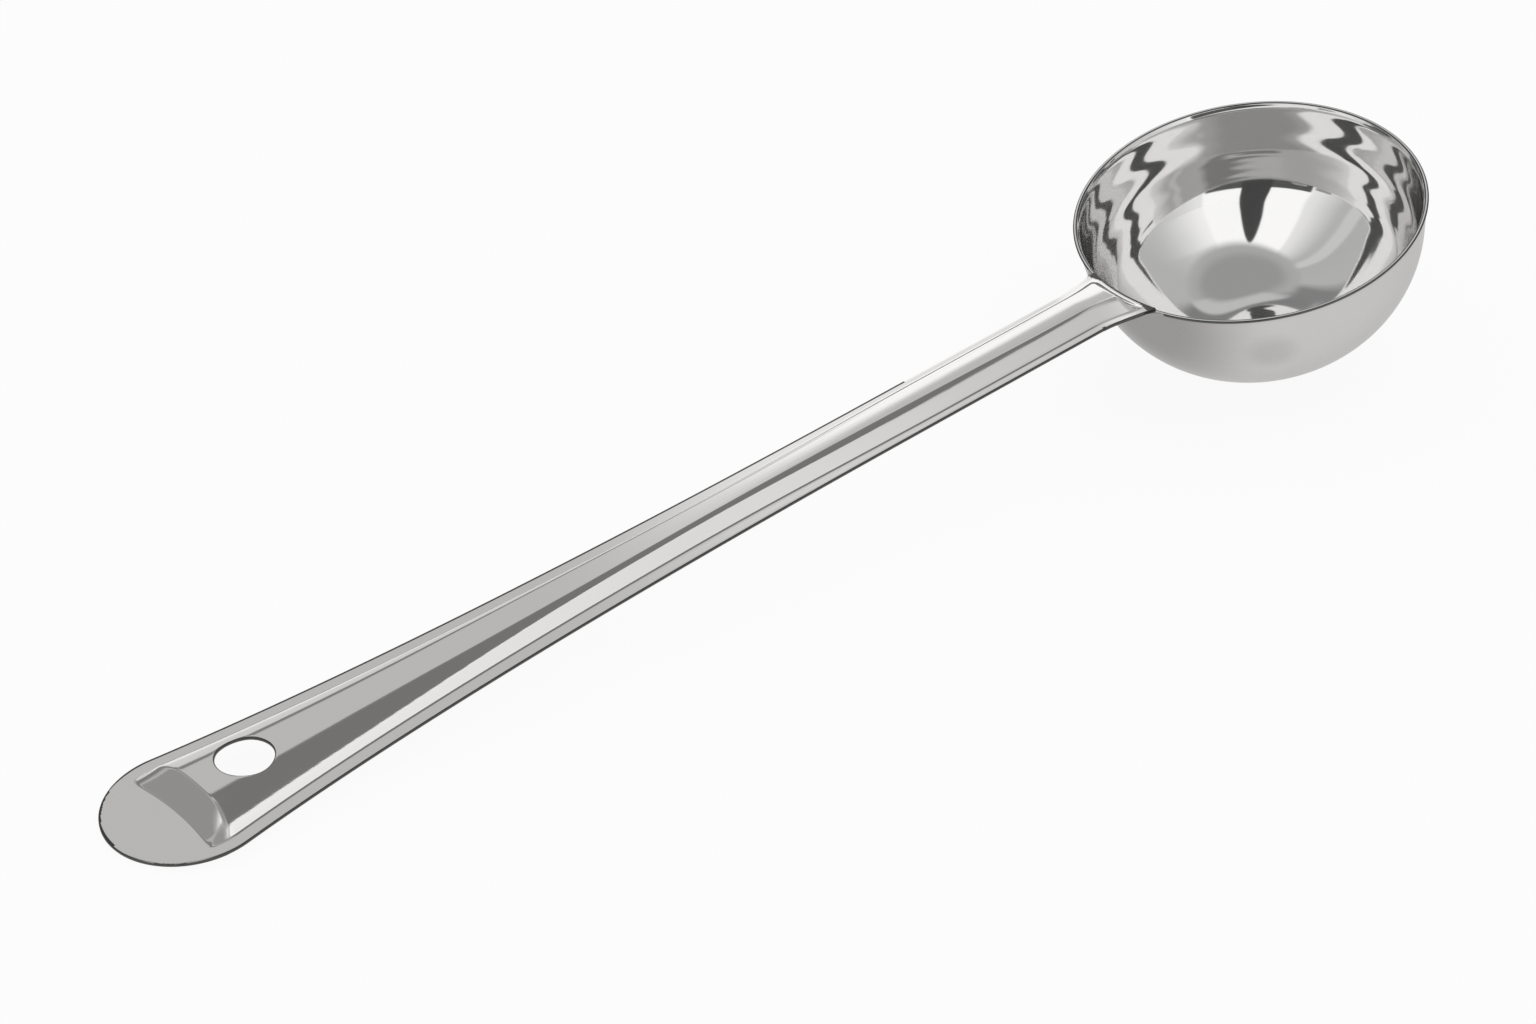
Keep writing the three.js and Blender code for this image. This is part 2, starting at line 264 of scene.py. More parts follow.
def makeWorld():
    world = bpy.data.worlds.new("tent")
    scene.world = world
    tree = newTree(world)
    rays = Wire.make(tree, "ShaderNodeLightPath")
    way = Wire(Wire.make(tree, "ShaderNodeTexCoord"), "Generated")
    split = Wire.make(tree, "ShaderNodeSeparateXYZ", None, {0: way})
    east, north, up = [Wire(split, i) for i in range(3)]
    front = math.radians(tent["frontTurn"])
    aside = east * math.cos(front) - north * math.sin(front)
    ahead = east * math.sin(front) + north * math.cos(front)
    turn = aside.math("ARCTAN2", aside, ahead) * math.degrees(1.0)
    height = up.math("ARCSINE", up) * math.degrees(1.0)

    stops = [((angle + 180) / 360, level) for angle, level in tent["walls"]]
    ramp = Wire.make(tree, "ShaderNodeValToRGB", {"stops": stops}, {"Fac": (turn + 180) / 360})
    wall = Wire(ramp, "Color") * tent["brightest"]

    low, high, lit = tent["backFirst"]
    once = fewBounces(Wire(rays, "Ray Depth"), 1) * height.fade(low, high, 1.0, 0.0)
    far = once * (lit - tent["backLevel"]) + tent["backLevel"]
    for foot, low, high, end, lit in tent["backBars"]:
        bar = height.fade(foot, low) * height.fade(high, end, 1.0, 0.0)
        far = far + bar * (lit - tent["backLevel"])
    back = turn.math("ABSOLUTE", turn).fade(*tent["backTurns"])
    wall = wall * (1 - back) + back * far

    ceiling = (height - back * tent["topBackLift"]).fade(tent["topStart"], tent["topEnd"])
    top = height.fade(tent["topEnd"], tent["topMiddle"], tent["topEdge"], tent["topLevel"])
    level = wall * (1 - ceiling) + ceiling * top

    left, right = tent["sillTurns"]
    edge = tent["sillEdge"]
    sill = height.fade(tent["sillTop"] - edge, tent["sillTop"] + edge, 1.0, 0.0)
    sill = sill * turn.fade(left - edge, left + edge)
    sill = sill * turn.fade(right - edge, right + edge, 1.0, 0.0)
    level = level * (1 - sill) + sill * tent["sillLevel"]

    slitSide = (turn - tent["slitTurn"] - height * tent["slitLean"]) / tent["slitHalfWidth"]
    slitOut = slitSide ** 2 + (height / tent["slitTop"]) ** tent["slitSquare"]
    slit = slitOut.fade(*tent["slitEdge"], 1.0, 0.0)
    level = level * (1 - slit) + slit * tent["slitLevel"]

    glossy = Wire(rays, "Is Glossy Ray")
    seen = Wire(rays, "Is Camera Ray") + Wire(rays, "Is Transmission Ray")
    plain = tent["spread"] * (1 - seen) + seen
    strength = glossy * level + (1 - glossy) * plain
    sky = Wire.make(tree, "ShaderNodeBackground", None, {"Strength": strength})
    Wire.make(tree, "ShaderNodeOutputWorld", None, {"Surface": Wire(sky)})


makeWorld()
print("tent lit")


# table top

table = {
    "halfSize": 3000.0,
    "paper": 0.95,
    "white": 0.9,  # share of plain white in it, the rest takes the shadow
}


def makeTable():
    material, tree = newMaterial("tablePaper")
    rays = Wire.make(tree, "ShaderNodeLightPath")
    seen = Wire(rays, "Is Camera Ray") + Wire(rays, "Is Glossy Ray")
    seen = seen + Wire(rays, "Is Transmission Ray")
    tone = (table["paper"],) * 3 + (1.0,)
    paper = Wire.make(tree, "ShaderNodeBsdfDiffuse", None, {"Color": tone})
    white = Wire.make(tree, "ShaderNodeEmission", None, {"Strength": 1.0})
    showMix(tree, seen.math("MINIMUM", seen, 1.0) * table["white"], paper, white)
    bm = bmesh.new()
    bmesh.ops.create_grid(bm, x_segments=1, y_segments=1, size=table["halfSize"] * mm)
    top = makeObject("table", bm, material)


makeTable()
print("table laid")


# cards that only the steel sees: three light ones, and two dark flags, over the handle and
# beyond its end; each fades along an axis, from nothing at the first place to full at the second

cards = {
    "backCard": {
        "corners": [(150, 450, 0), (2000, 450, 0), (2000, 450, 560), (150, 450, 560)],
        "level": 1.25,
        "fades": [("X", 170, 300), ("Z", 505, 430)],
    },
    "sideCard": {
        "corners": [(-70, -430, 320), (410, -430, 320), (410, -145, 320), (40, -145, 320),
                    (-70, -275, 320)],
        "level": 1.26,
        "fades": [("X", -65, -50), ("X", 400, -130), ("Y", -430, -400), ("Y", -150, -170)],
    },
    "darkFlag": {
        "corners": [(-151, -58, 77.5), (131, -38, 106.6), (131, 41, 106.6), (-151, 41, 77.5)],
        "level": 0.22,
        "fades": [("X", 131, 126), ("X", -151, -144)],
        "reach": (96, 100),  # how far off it shows, so that the bowl has none of it
    },
    "lowCard": {
        "corners": [(-170, 130, 0), (95, 130, 0), (95, 130, 75), (-170, 130, 75)],
        "level": 0.79,
        "fades": [("X", 95, 60), ("Z", 75, 62)],
        "bounces": 2,  # it shows in second reflections too
    },
    "endFlag": {
        "corners": [(-215, 0, 0), (-215, 90, 0), (-215, 90, 85), (-215, 0, 85)],
        "level": 0.36,
        "fades": [("Y", 0, 20)],
    },
}


def makeCard(name, card):
    material, tree = newMaterial(name)
    split = Wire.make(tree, "ShaderNodeSeparateXYZ", None, {0: objectPlace(tree)})
    rays = Wire.make(tree, "ShaderNodeLightPath")
    shown = fewBounces(Wire(rays, "Ray Depth"), card.get("bounces", 1))
    if "reach" in card:
        low, high = [mm * reach for reach in card["reach"]]
        shown = shown * Wire(rays, "Ray Length").fade(low, high, 1.0, 0.0)
    for axis, start, end in card["fades"]:
        low, high = sorted((start * mm, end * mm))
        step = Wire(split, axis).fade(low, high)
        shown = shown * (step if start < end else 1 - step)
    clear = Wire.make(tree, "ShaderNodeBsdfTransparent")
    glow = Wire.make(tree, "ShaderNodeEmission", None, {"Strength": card["level"]})
    showMix(tree, shown, clear, glow)
    bm = bmesh.new()
    bm.faces.new([bm.verts.new(mm * Vector(corner)) for corner in card["corners"]])
    sheet = makeObject(name, bm, material)
    sheet.visible_camera = False
    sheet.visible_diffuse = False
    sheet.visible_shadow = False
    sheet.visible_transmission = False


for cardName, cardSettings in cards.items():
    makeCard(cardName, cardSettings)
print("cards up")


# bowl

bowl = {
    "rimRadius": 45.0,
    "depth": 40.5,
    "wallLean": 8.5,  # degrees, inwards from upright, going down
    "baseRadius": 6.7,  # of the flat at the bottom
    "sheet": 1.0,
    "lipOverhang": 0.34,
    "lipHeight": 1.8,
    "rimRound": 0.3,
    "solidChamfer": 0.3,  # on the rim of the solid
    "dish": (-0.36, 43.4, 11.6),  # size, place in degrees from the bottom, and spread
    "dishStart": 12.0,
    "bead": (0.23, 57.9, 4.7),
    "ripple": (0.06, 69.1, 12.0, 61.8, 67.8),  # drawing marks: size, place, length, start, full
    "waveEnd": (86.0, 90.0),
    "baseRings": 8,
    "bellyRings": 80,
    "wallRings": 20,
    "lipRings": 10,
    "rimRings": 5,  # at each of the rim's two corners
    "turns": 192,
    "joinGap": 1e-4,
    "brightMargin": 0.06,  # between a corner painted dark and the bright top of the rim
    "outsideOnRim": 4,  # rings of the rim with the outside's finish
    "rimShadeDepth": 0.75,  # under the rim's plane, outside, how far down the lip is painted dark as painted shade
    "shadeAndSpot": [  # place on the outside, its radius and strength: painted shade of the handle by its root, and a small darker spot
        ((107.0, -8.0, 28.0), 34.0, 0.42),
        ((126.0, -34.5, 23.3), 9.0, 0.16),
    ],
    "shadeAndSpotCore": 0.25,  # share of the radius that has its full strength
    "rimDark": 0.15,  # share of the tone that is left on the rim's corners, painted dark as painted reflection and painted shade
    "inMetal": 0.93,
    "inTone": (0.762, 0.757, 0.751, 1.0),
    # satin outside, toned darker than the inside as painted shade of the shaded table it reflects
    "outTone": (0.586, 0.577, 0.567, 1.0),
    "edgeTint": (0.78, 0.78, 0.78, 1.0),  # of a glancing look
    "inRough": 0.055,
    "outRough": 0.3,
    "grain": (6.0, 4.0),  # scale and detail of the turning marks outside
    "grainRough": 0.16,
    "grainBump": (0.05, 0.2),  # strength and depth
    "cloudScale": 60.0,
    "cloudRough": 0.08,
}

# the belly is round from the flat base up to the wall, which is straight to the rim
wallLean = math.radians(bowl["wallLean"])
bodyRadius = bowl["rimRadius"] - bowl["lipOverhang"]
bellyRise = 1 - math.sin(wallLean)
bellyRun = bodyRadius - bowl["baseRadius"] - bowl["depth"] * math.tan(wallLean)
bellyRadius = bellyRun * math.cos(wallLean) / bellyRise
bellyHeight = bellyRadius - bowl["depth"]
wallFoot = bellyRadius * bellyRise - bowl["depth"]


def wallRadius(z):  # outside of the straight wall, lip included
    lip = bowl["lipOverhang"] * smooth(z, -bowl["lipHeight"], 0.0)
    return bodyRadius + z * math.tan(wallLean) + lip


def bowlSide():  # outside profile, from the bottom to under the rim
    points = []
    for i in range(bowl["baseRings"]):
        across = bowl["baseRadius"] * i / bowl["baseRings"]
        points.append(Vector((across, 0.0, -bowl["depth"])))
    for i in range(bowl["bellyRings"]):
        angle = (math.pi / 2 - wallLean) * i / bowl["bellyRings"]
        points.append(Vector((bowl["baseRadius"] + bellyRadius * math.sin(angle), 0.0,
                              bellyHeight - bellyRadius * math.cos(angle))))
    heights = []
    marks = [wallFoot, -bowl["lipHeight"], -bowl["rimRound"]]
    for low, high, count in zip(marks, marks[1:], (bowl["wallRings"], bowl["lipRings"])):
        heights += [low + (high - low) * i / count for i in range(count)]
    return points + [Vector((wallRadius(z), 0.0, z)) for z in heights]


def swell(angle, size, place, width):
    return size * math.exp(-((angle - place) / width) ** 2)


def drawnWave(angle):  # how far the inside stands off its plain shape, by degrees from the bottom
    dish = swell(angle, *bowl["dish"]) * smooth(angle, 0.0, bowl["dishStart"])
    size, place, length, start, full = bowl["ripple"]
    ripple = size * math.sin(2 * math.pi * (angle - place) / length) * smooth(angle, start, full)
    ended = 1 - smooth(angle, *bowl["waveEnd"])
    return (dish + ripple) * ended + swell(angle, *bowl["bead"])


def insidePoints(side):  # the same profile, one sheet further in, with the marks of the drawing
    points = []
    for i, point in enumerate(side):
        along = side[min(len(side) - 1, i + 1)] - side[max(0, i - 1)]
        if i == 0:
            along = Vector((1.0, 0.0, 0.0))
        along.normalize()
        within = point + bowl["sheet"] * Vector((-along.z, 0.0, along.x))
        angle = math.degrees(math.atan2(within.x, -within.z))
        points.append(within * (1 + drawnWave(angle) / within.length))
    return points


def rimCorner(middle, start):  # a quarter turn, all of it painted dark
    points = []
    for i in range(bowl["rimRings"] + 1):
        angle = math.radians(start + 90 * i / bowl["rimRings"])
        points.append((Vector((middle + bowl["rimRound"] * math.cos(angle), 0.0,
                               bowl["rimRound"] * (math.sin(angle) - 1))), 1.0))
    return points


def rimPoints():  # rounded top of the sheet, each with how much it is painted dark
    outer = bowl["rimRadius"] - bowl["rimRound"]
    inner = bowl["rimRadius"] - bowl["sheet"] + bowl["rimRound"]
    ends = (outer - bowl["brightMargin"], inner + bowl["brightMargin"])
    bright = [(Vector((end, 0.0, 0.0)), 0.0) for end in ends]
    return rimCorner(outer, 0) + bright + rimCorner(inner, 90)


handleRise = math.radians(6.2)  # of the handle over the rim's plane


def lyingPlace():  # of the rim's middle, from the solids, with the bowl's tilt
    mounts = {mount["name"]: mount for mount in frame["record"]["mounts"]}
    axis = mounts["tip_face_top"]["axis"]
    tilt = math.atan2(-axis[0], axis[2]) + handleRise
    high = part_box("bowl")[1]
    cut = bowl["solidChamfer"] * mm
    radius = bowl["rimRadius"] * mm
    x = high.x - radius * math.cos(tilt) - cut * math.sin(tilt)
    z = high.z - (radius - cut) * math.sin(tilt)
    turned = Matrix.Translation((x, 0.0, z)) @ Matrix.Rotation(-tilt, 4, "Y")
    return turned @ Matrix.Scale(mm, 4)


def shadeAndSpotLeft(tree, place, outside):  # share of the tone that the painted shade and the darker spot leave
    left = 1.0
    for spot, radius, strength in bowl["shadeAndSpot"]:
        away = Wire(Wire.make(tree, "ShaderNodeVectorMath", {"operation": "DISTANCE"},
                              {0: place, 1: mm * Vector(spot)}), "Value")
        dimmed = away.fade(bowl["shadeAndSpotCore"] * radius * mm, radius * mm, strength, 0.0)
        left = left * (1 - dimmed * outside)
    return left


def makeBowlSteel():
    material, tree = newMaterial("bowlSteel")
    inside = attribute(tree, "inside")
    outside = 1 - inside
    place = objectPlace(tree)
    cloud = noise(tree, place, bowl["cloudScale"])
    scale, detail = bowl["grain"]
    grain = Wire(Wire.make(tree, "ShaderNodeTexNoise", {"noise_dimensions": "1D"}, {
        "W": attribute(tree, "arc"), "Scale": scale, "Detail": detail}), "Fac")
    tone = mixTone(tree, inside, bowl["outTone"], bowl["inTone"])
    # the outside is darkened by the handle's root as painted shade, and at a small darker spot
    tone = Wire(Wire.make(tree, "ShaderNodeVectorMath", {"operation": "SCALE"}, {
        0: tone, "Scale": shadeAndSpotLeft(tree, place, outside)}))
    # painted dark lines either side of the bright rim top: painted reflection on the inner
    # corner, painted shade on the outer corner and the lip below it
    dark = tuple(bowl["rimDark"] * level for level in bowl["inTone"][:3]) + (1.0,)
    tone = mixTone(tree, attribute(tree, "worn"), tone, dark)
    rough = bowl["outRough"] + (grain - 0.5) * bowl["grainRough"]
    rough = rough + (cloud - 0.5) * bowl["cloudRough"]
    showSurface(tree, Wire.make(tree, "ShaderNodeBsdfPrincipled", None, {
        "Base Color": tone,
        "Metallic": 1 - inside * (1 - bowl["inMetal"]),
        "Roughness": inside * bowl["inRough"] + outside * rough,
        "Specular Tint": bowl["edgeTint"],
        "Normal": bumpOf(tree, grain * outside, *bowl["grainBump"])}))
    return material


def makeBowl():
    side = bowlSide()
    within = insidePoints(side)
    rim = rimPoints()
    outline = side + [point for point, rimShade in rim] + within[::-1]
    # the lip's outside just under the rim is painted dark, a painted shade
    rimShades = [1.0 if point.z > -bowl["rimShadeDepth"] else 0.0 for point in side]
    rimShades += [rimShade for point, rimShade in rim] + [0.0] * len(within)
    bm = bmesh.new()
    rimShadedLayer = bm.verts.layers.float.new("worn")
    insideLayer = bm.verts.layers.float.new("inside")
    arcLayer = bm.verts.layers.float.new("arc")
    verts = [bm.verts.new(point) for point in outline]
    arc = 0.0
    for i, vert in enumerate(verts):
        if i:
            bm.edges.new((verts[i - 1], vert))
            arc += (outline[i] - outline[i - 1]).length
        vert[arcLayer] = arc
        vert[insideLayer] = 0.0 if i < len(side) + bowl["outsideOnRim"] else 1.0
        vert[rimShadedLayer] = rimShades[i]
    bmesh.ops.spin(bm, geom=bm.verts[:] + bm.edges[:], cent=(0, 0, 0), axis=(0, 0, 1),
                   dvec=(0, 0, 0), angle=2 * math.pi, steps=bowl["turns"], use_merge=True)
    bmesh.ops.remove_doubles(bm, verts=bm.verts[:], dist=bowl["joinGap"])
    bmesh.ops.recalc_face_normals(bm, faces=bm.faces[:])
    bmesh.ops.transform(bm, matrix=lyingPlace(), verts=bm.verts[:])
    finishPiece("bowlShell", bm, makeBowlSteel(), "bowl_steel", "bowl")


makeBowl()
print("bowl made")


# handle

handle = {
    "length": 300.0,
    "sheet": 0.9,
    "neckHalfWidth": 9.4,
    "flareStart": 76.0,
    "flareAngle": 8.3,  # degrees, of each edge
    "tipRadius": 19.9,
    "tipEndAngle": 85.0,
    "rootFlare": 2.0,
    "rootRun": 14.0,
    "rootLift": 1.7,
    "rootStep": 1.2,
    "rootLap": 0.6,  # of the handle's end over the rim
    "rootBlend": 14.0,  # length over which the rows come round to the rim's curve
    "flangeNeck": 2.0,
    "flangeTip": 3.3,
    "flangeRun": (60.0, 140.0),  # where the flanges get broader and the slopes steeper
    "ribHeightNeck": 3.3,
    "ribHeightTip": 5.3,
    "ribGrowth": 1.5,  # power by which it grows with the flare
    "ribSlopeNeck": 40.0,
    "ribSlopeTip": 45.5,
    "ribFillet": 0.8,
    "crownShares": [  # place from the rim, and share of the rib's width that is its top
        (0.0, 0.42), (90.0, 0.27), (175.0, 0.37), (240.0, 0.3)],
    "crownRadius": 28.0,  # of the top at the rim
    "crownFlat": 160.0,  # from the rim, where the top is flat
    "ribEndSetback": 16.7,
    "ribEndSlope": 43.0,
    "ribEndShoulder": 1.3,
    "ribEndScoop": 1.8,
    "ribNoseGap": 0.5,  # from the rim to the foot of the rib
    "ribNoseSlope": 42.0,
    "ribNoseShoulder": 1.4,
    "holeRadius": 6.8,
    "holeSetback": 36.2,
    "holeRound": 0.3,
    "holePatch": 1.5,  # half side of the square that the hole replaces, in hole radii
    "edgeRound": 0.3,
    "edgeBand": 0.75,  # width of the dark margin at the rim, a painted shade of the gap there, and along the left edge, a painted dark reflection
    "edgeBandStart": 62.0,  # from the rim, where the painted dark line along the left edge starts
    "cornerBand": 1.3,  # more of the margin at the corners beside the welds, a painted shadow there
    "cornerRun": (6.5, 10.5),  # from the middle, where the margin gets broader
    "stretches": [(0.0, 7.0, 28), (7.0, 20.0, 16), (20.0, 105.0, 36), (105.0, 252.0, 60),
                  (252.0, 274.0, 42), (274.0, 280.2, 26)],
    "tipRows": [(0.0, 0.3, 26), (0.3, 0.7, 14)],  # shares of the tip's radius
    "tipEndRows": 12,
    "edgeRows": 6,
    "holeRings": 4,
    "holeFill": 8,  # rings between the square and the hole
    "flangeColumns": 4,  # columns are counted from the middle to one edge
    "filletColumns": 8,
    "slopeColumns": 6,
    "shoulderColumns": 16,
    "crownColumns": 12,
    "sharpAngle": 1.0,  # radians, over which an edge isn't shaded smooth
    "tone": (0.745, 0.736, 0.722, 1.0),
    "rough": 0.1,
    "streak": (3.0, 4.0),  # scale and detail of the polishing marks
    "streakSquash": 0.03,  # along the handle
    "streakRough": 0.08,
    "streakBump": (0.03, 0.2),  # strength and depth
    "cloudScale": 45.0,
    "cloudRough": 0.05,
    # near black: painted dark reflection on the cut edges, painted shade by the rim and the welds
    "cutShadeTone": (0.09, 0.089, 0.088, 1.0),
    "cutRough": 0.38,
    "cutCloudScale": 900.0,
    "cutCloudRough": 0.2,
    "cutBump": (0.1, 0.1),
}

flareAngle = math.radians(handle["flareAngle"])
tipCentre = handle["length"] - handle["tipRadius"] * math.sin(math.radians(handle["tipEndAngle"]))
flareEnd = tipCentre - handle["tipRadius"] * math.sin(flareAngle)
flareEndHalf = handle["tipRadius"] * math.cos(flareAngle)
flareBend = flareEnd - (flareEndHalf - handle["neckHalfWidth"]) / math.tan(flareAngle)
holeAt = handle["length"] - handle["holeSetback"]


def halfWidth(along):  # a round tip, a bent flare, a straight neck and a spread root
    neck = handle["neckHalfWidth"]
    if along > flareEnd:
        return math.sqrt(max(0.0, handle["tipRadius"] ** 2 - (along - tipCentre) ** 2))
    if along > handle["flareStart"]:  # a curve pulled to flareBend, t is the share of it
        a = handle["flareStart"] - 2 * flareBend + flareEnd
        b = 2 * (flareBend - handle["flareStart"])
        c = handle["flareStart"] - along
        t = -2 * c / (b + math.sqrt(b * b - 4 * a * c))
        return neck * (1 - t * t) + flareEndHalf * t * t
    return neck + handle["rootFlare"] * max(0.0, 1 - max(0.0, along) / handle["rootRun"]) ** 2


def rampRun(height, slope, shoulder):  # from a rounded ramp's foot to the flat at its top
    return height / math.tan(slope) + (handle["ribFillet"] + shoulder) * math.tan(slope / 2)


def rampHeight(distance, height, slope, shoulder):  # a fillet, a slope and a shoulder
    fillet = handle["ribFillet"]
    run = rampRun(height, slope, shoulder)
    if distance <= 0:
        return 0.0
    if distance >= run:
        return height
    if distance < fillet * math.sin(slope):
        return fillet - math.sqrt(fillet ** 2 - distance ** 2)
    if distance > run - shoulder * math.sin(slope):
        return height - shoulder + math.sqrt(shoulder ** 2 - (run - distance) ** 2)
    return (distance - fillet * math.tan(slope / 2)) * math.tan(slope)


def ribSection(along):  # the rib's foot and height, slope, shoulder and top, and the top's bend
    half = halfWidth(along)
    neck = handle["neckHalfWidth"]
    fillet = handle["ribFillet"]
    grown = 0.0
    if along > handle["rootRun"]:
        grown = (halfWidth(min(along, flareEnd)) - neck) / (handle["tipRadius"] - neck)

    def between(name, share):
        return handle[name + "Neck"] * (1 - share) + handle[name + "Tip"] * share

    broader = smooth(along, *handle["flangeRun"])
    foot = max(half - between("flange", broader), half / 2, fillet)
    height = between("ribHeight", grown ** handle["ribGrowth"])
    slope = math.radians(between("ribSlope", broader))
    shares = handle["crownShares"]
    crownShare = shares[0][1]
    for (start, before), (end, after) in zip(shares, shares[1:]):
        crownShare += (after - before) * smooth(along, start, end)
    crown = foot * crownShare
    roomy = (foot - crown - height / math.tan(slope)) / math.tan(slope / 2) - fillet
    tallest = height / (1 - math.cos(slope)) - fillet
    shoulder = min(max(fillet, roomy), tallest)
    bend = (1 - smooth(along, 0.0, handle["crownFlat"])) / handle["crownRadius"]
    return foot, height, slope, shoulder, crown, bend


def rimAlong(across):  # the rim's curve, along the handle
    return math.sqrt(bowl["rimRadius"] ** 2 - across ** 2) - bowl["rimRadius"]


def upperHeight(along, across):  # of the handle's upper face over its flanges
    foot, height, slope, shoulder, crown, bend = ribSection(along)
    domed = height - bend * min(abs(across), crown) ** 2 / 2
    rib = rampHeight(foot - abs(across), domed, slope, shoulder)

    def rampShare(distance, name):  # of the ramp at either end of the rib
        lean = math.radians(handle[name + "Slope"])
        return rampHeight(distance, height, lean, handle[name + "Shoulder"]) / height

    endFoot = handle["length"] - handle["ribEndSetback"]
    endFoot += handle["ribEndScoop"] * (across / foot) ** 2
    end = rampShare(endFoot - along, "ribEnd")
    nose = rampShare(along - rimAlong(across) - handle["ribNoseGap"], "ribNose")
    dip = (handle["rootLift"] - handle["rootStep"]) * (1 - smooth(along, 0.0, handle["rootRun"]))
    return rib * end * nose - dip


def edgeDrop(gap, radius):  # how far a rounded edge falls, at a gap from the outline
    inward = min(radius, max(0.0, radius - gap))
    return radius - math.sqrt(radius ** 2 - inward ** 2)


def outlineGaps(along, across):  # to the handle's edge, and to the edge of the hang hole
    edge = halfWidth(along) - abs(across)
    if along > tipCentre:
        edge = handle["tipRadius"] - math.hypot(along - tipCentre, across)
    return edge, math.hypot(along - holeAt, across) - handle["holeRadius"]


def faceHeights(along, across):  # of the upper and the lower face, with their edges rounded
    step = 0.05
    top = upperHeight(along, across)
    riseAlong = upperHeight(along + step, across) - upperHeight(along - step, across)
    riseAcross = upperHeight(along, across + step) - upperHeight(along, across - step)
    edge, hole = outlineGaps(along, across)
    drop = max(edgeDrop(edge, handle["edgeRound"]), edgeDrop(hole, handle["holeRound"]))
    steep = math.sqrt(1 + (riseAlong / (2 * step)) ** 2 + (riseAcross / (2 * step)) ** 2)
    return top - drop, top - handle["sheet"] * steep + drop


def paintedDarkMargin(along, across, below):  # how far the painted dark edge comes in over the face
    if across > 0 and along < handle["rootBlend"]:
        return handle["edgeBand"]
    if below:
        return 0.0
    if across > 0:
        return handle["edgeRound"]
    return handle["edgeBand"] if along > handle["edgeBandStart"] else 0.0


def isPaintedDark(along, across, below):  # painted dark: the edges and round the hole as painted reflection, by the rim as painted shade
    slack = 0.01
    edge, hole = outlineGaps(along, across)
    overRim = along - rimAlong(across) + handle["rootLap"]
    overRim -= handle["cornerBand"] * smooth(abs(across), *handle["cornerRun"])
    return (edge - paintedDarkMargin(along, across, below) < slack
            or overRim < (1 + slack) * handle["edgeBand"]
            or hole < (1 + slack) * handle["holeRound"])


def handlePlace():  # from along and across the handle to the bowl's own frame
    lift = Matrix.Translation((-bowl["rimRadius"], 0.0, handle["rootLift"]))
    return lift @ Matrix.Rotation(handleRise, 4, "Y") @ Matrix.Diagonal((-1.0, -1.0, 1.0, 1.0))


def spread(stretches):  # places along stretches, each with its own count of steps
    places = [stretches[0][0]]
    for start, end, count in stretches:
        places += [start + (end - start) * (i + 1) / count for i in range(count)]
    return places


def columnPlaces(along):  # distances from the middle: crown, shoulder, slope, fillet and flange
    half = halfWidth(along)
    foot, height, slope, shoulder, crown = ribSection(along)[:5]
    run = rampRun(height, slope, shoulder)
    squeeze = min(1.0, (foot - crown) / run)  # where the tip is too narrow for the rib
    crown = foot - squeeze * run
    slopeTop = foot - squeeze * (run - shoulder * math.sin(slope))
    slopeFoot = foot - squeeze * handle["ribFillet"] * math.sin(slope)
    return spread([
        (0.0, crown, handle["crownColumns"]),
        (crown, slopeTop, handle["shoulderColumns"]),
        (slopeTop, slopeFoot, handle["slopeColumns"]),
        (slopeFoot, foot, handle["filletColumns"]),
        (foot, half - handle["edgeBand"], handle["flangeColumns"]),
        (half - handle["edgeBand"], half - handle["edgeRound"], 1),
    ]) + roundPlaces(half)


def tipShares():  # places along the tip, as shares of its radius
    radius = handle["tipRadius"]
    bandStart = 1 - handle["edgeBand"] / radius
    roundStart = 1 - handle["edgeRound"] / radius
    rowsEnd = handle["tipRows"][-1][1]
    ends = [(rowsEnd, bandStart, handle["tipEndRows"]), (bandStart, roundStart, 1)]
    return spread(handle["tipRows"] + ends) + [place / radius for place in roundPlaces(radius)]


def roundPlaces(edge):  # steps of a rounded edge, up to the edge itself
    count = handle["edgeRows"]
    angles = [math.pi / 2 * (i + 1) / count for i in range(count)]
    return [edge - handle["edgeRound"] * (1 - math.sin(angle)) for angle in angles]


def planPoint(places, tipPlaces, row, column):  # along and across, for a place in the grid
    mainRows = len(places) - 1
    if row <= mainRows:
        along = places[row]
        across = math.copysign(columnPlaces(along)[abs(column)], column)
        blend = max(0.0, 1 - along / handle["rootBlend"])
        return along + (rimAlong(across) - handle["rootLap"]) * blend, across
    # the tip's rows and columns bend to a half disc
    u = math.copysign(columnPlaces(tipCentre)[abs(column)], column) / handle["tipRadius"]
    v = tipPlaces[row - mainRows]
    along = tipCentre + handle["tipRadius"] * v * math.sqrt(1 - u * u / 2)
    return along, handle["tipRadius"] * u * math.sqrt(1 - v * v / 2)


